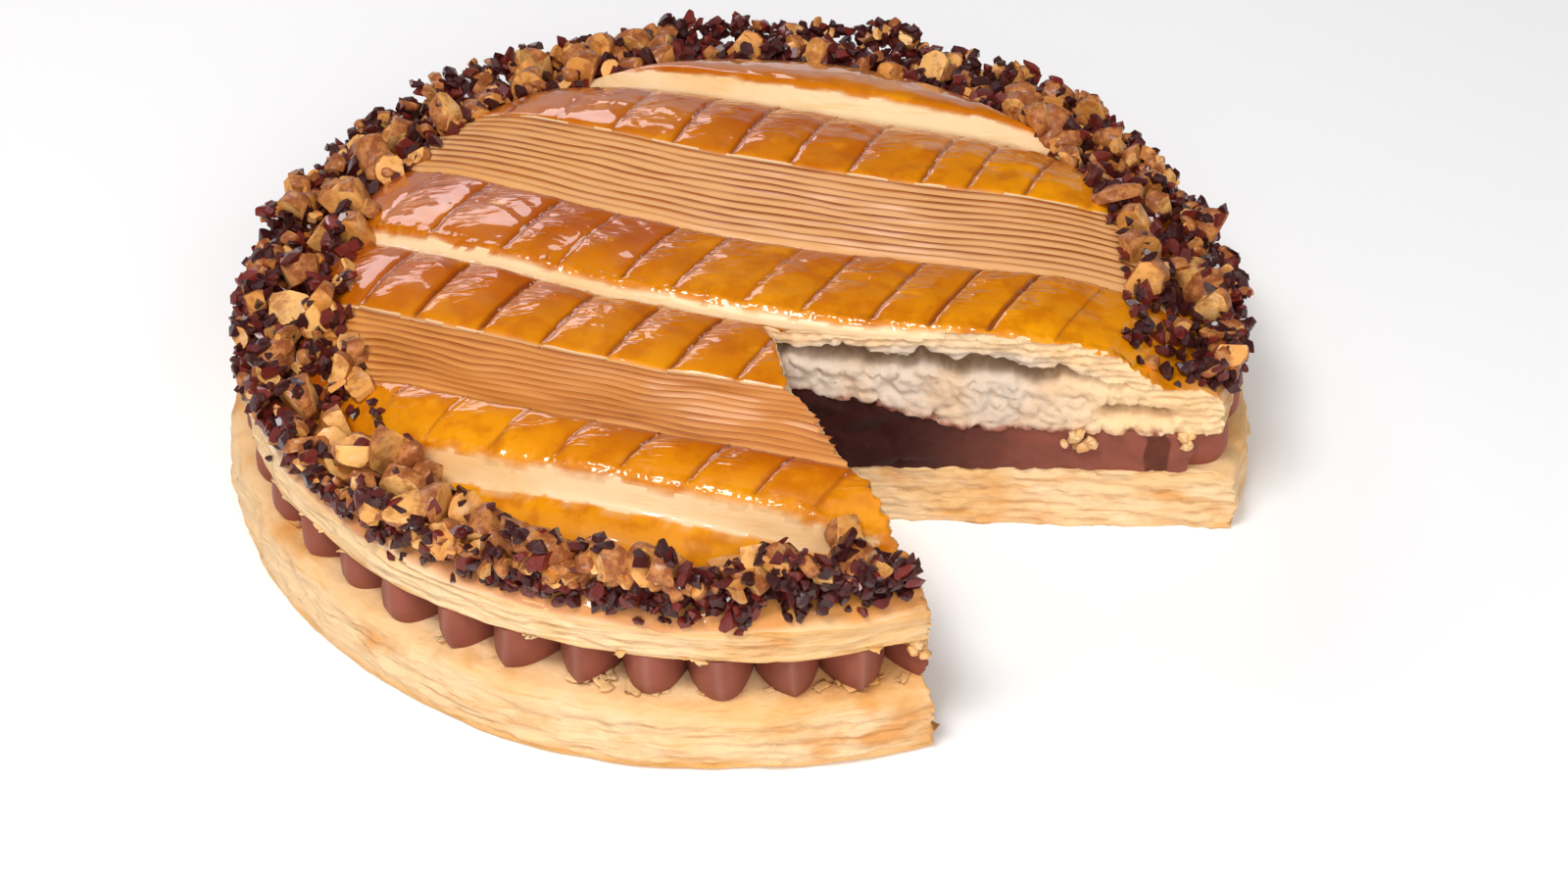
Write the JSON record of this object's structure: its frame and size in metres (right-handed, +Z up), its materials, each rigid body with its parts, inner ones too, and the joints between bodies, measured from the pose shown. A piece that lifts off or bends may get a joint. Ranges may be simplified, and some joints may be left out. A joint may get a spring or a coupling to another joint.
{
  "type": "galette des rois",
  "caption": "Domed round puff pastry cake with one slice missing, filled with piped chocolate cream, its glazed top scored in bands and ringed with chopped nuts.",
  "frame": {"origin": "centre of the base, on the surface the galette stands on", "axes": "+Z up through the dome; the missing slice lies between +X and -Y; the bands of the top run about along X"},
  "size_m": [0.243, 0.2437, 0.0571],
  "materials": {
    "pale_pastry": "matt baked puff pastry",
    "chocolate_cream": "smooth satin cream",
    "glazed_pastry": "glossy syrup glaze over browned pastry",
    "roasted_nuts": "satin"
  },
  "bodies": {
    "root": {"bottom_pastry": "pale_pastry", "chocolate_cream": "chocolate_cream", "top_pastry": "glazed_pastry", "nut_topping": "roasted_nuts", "lone_nut": "roasted_nuts"}
  },
  "joints": []
}
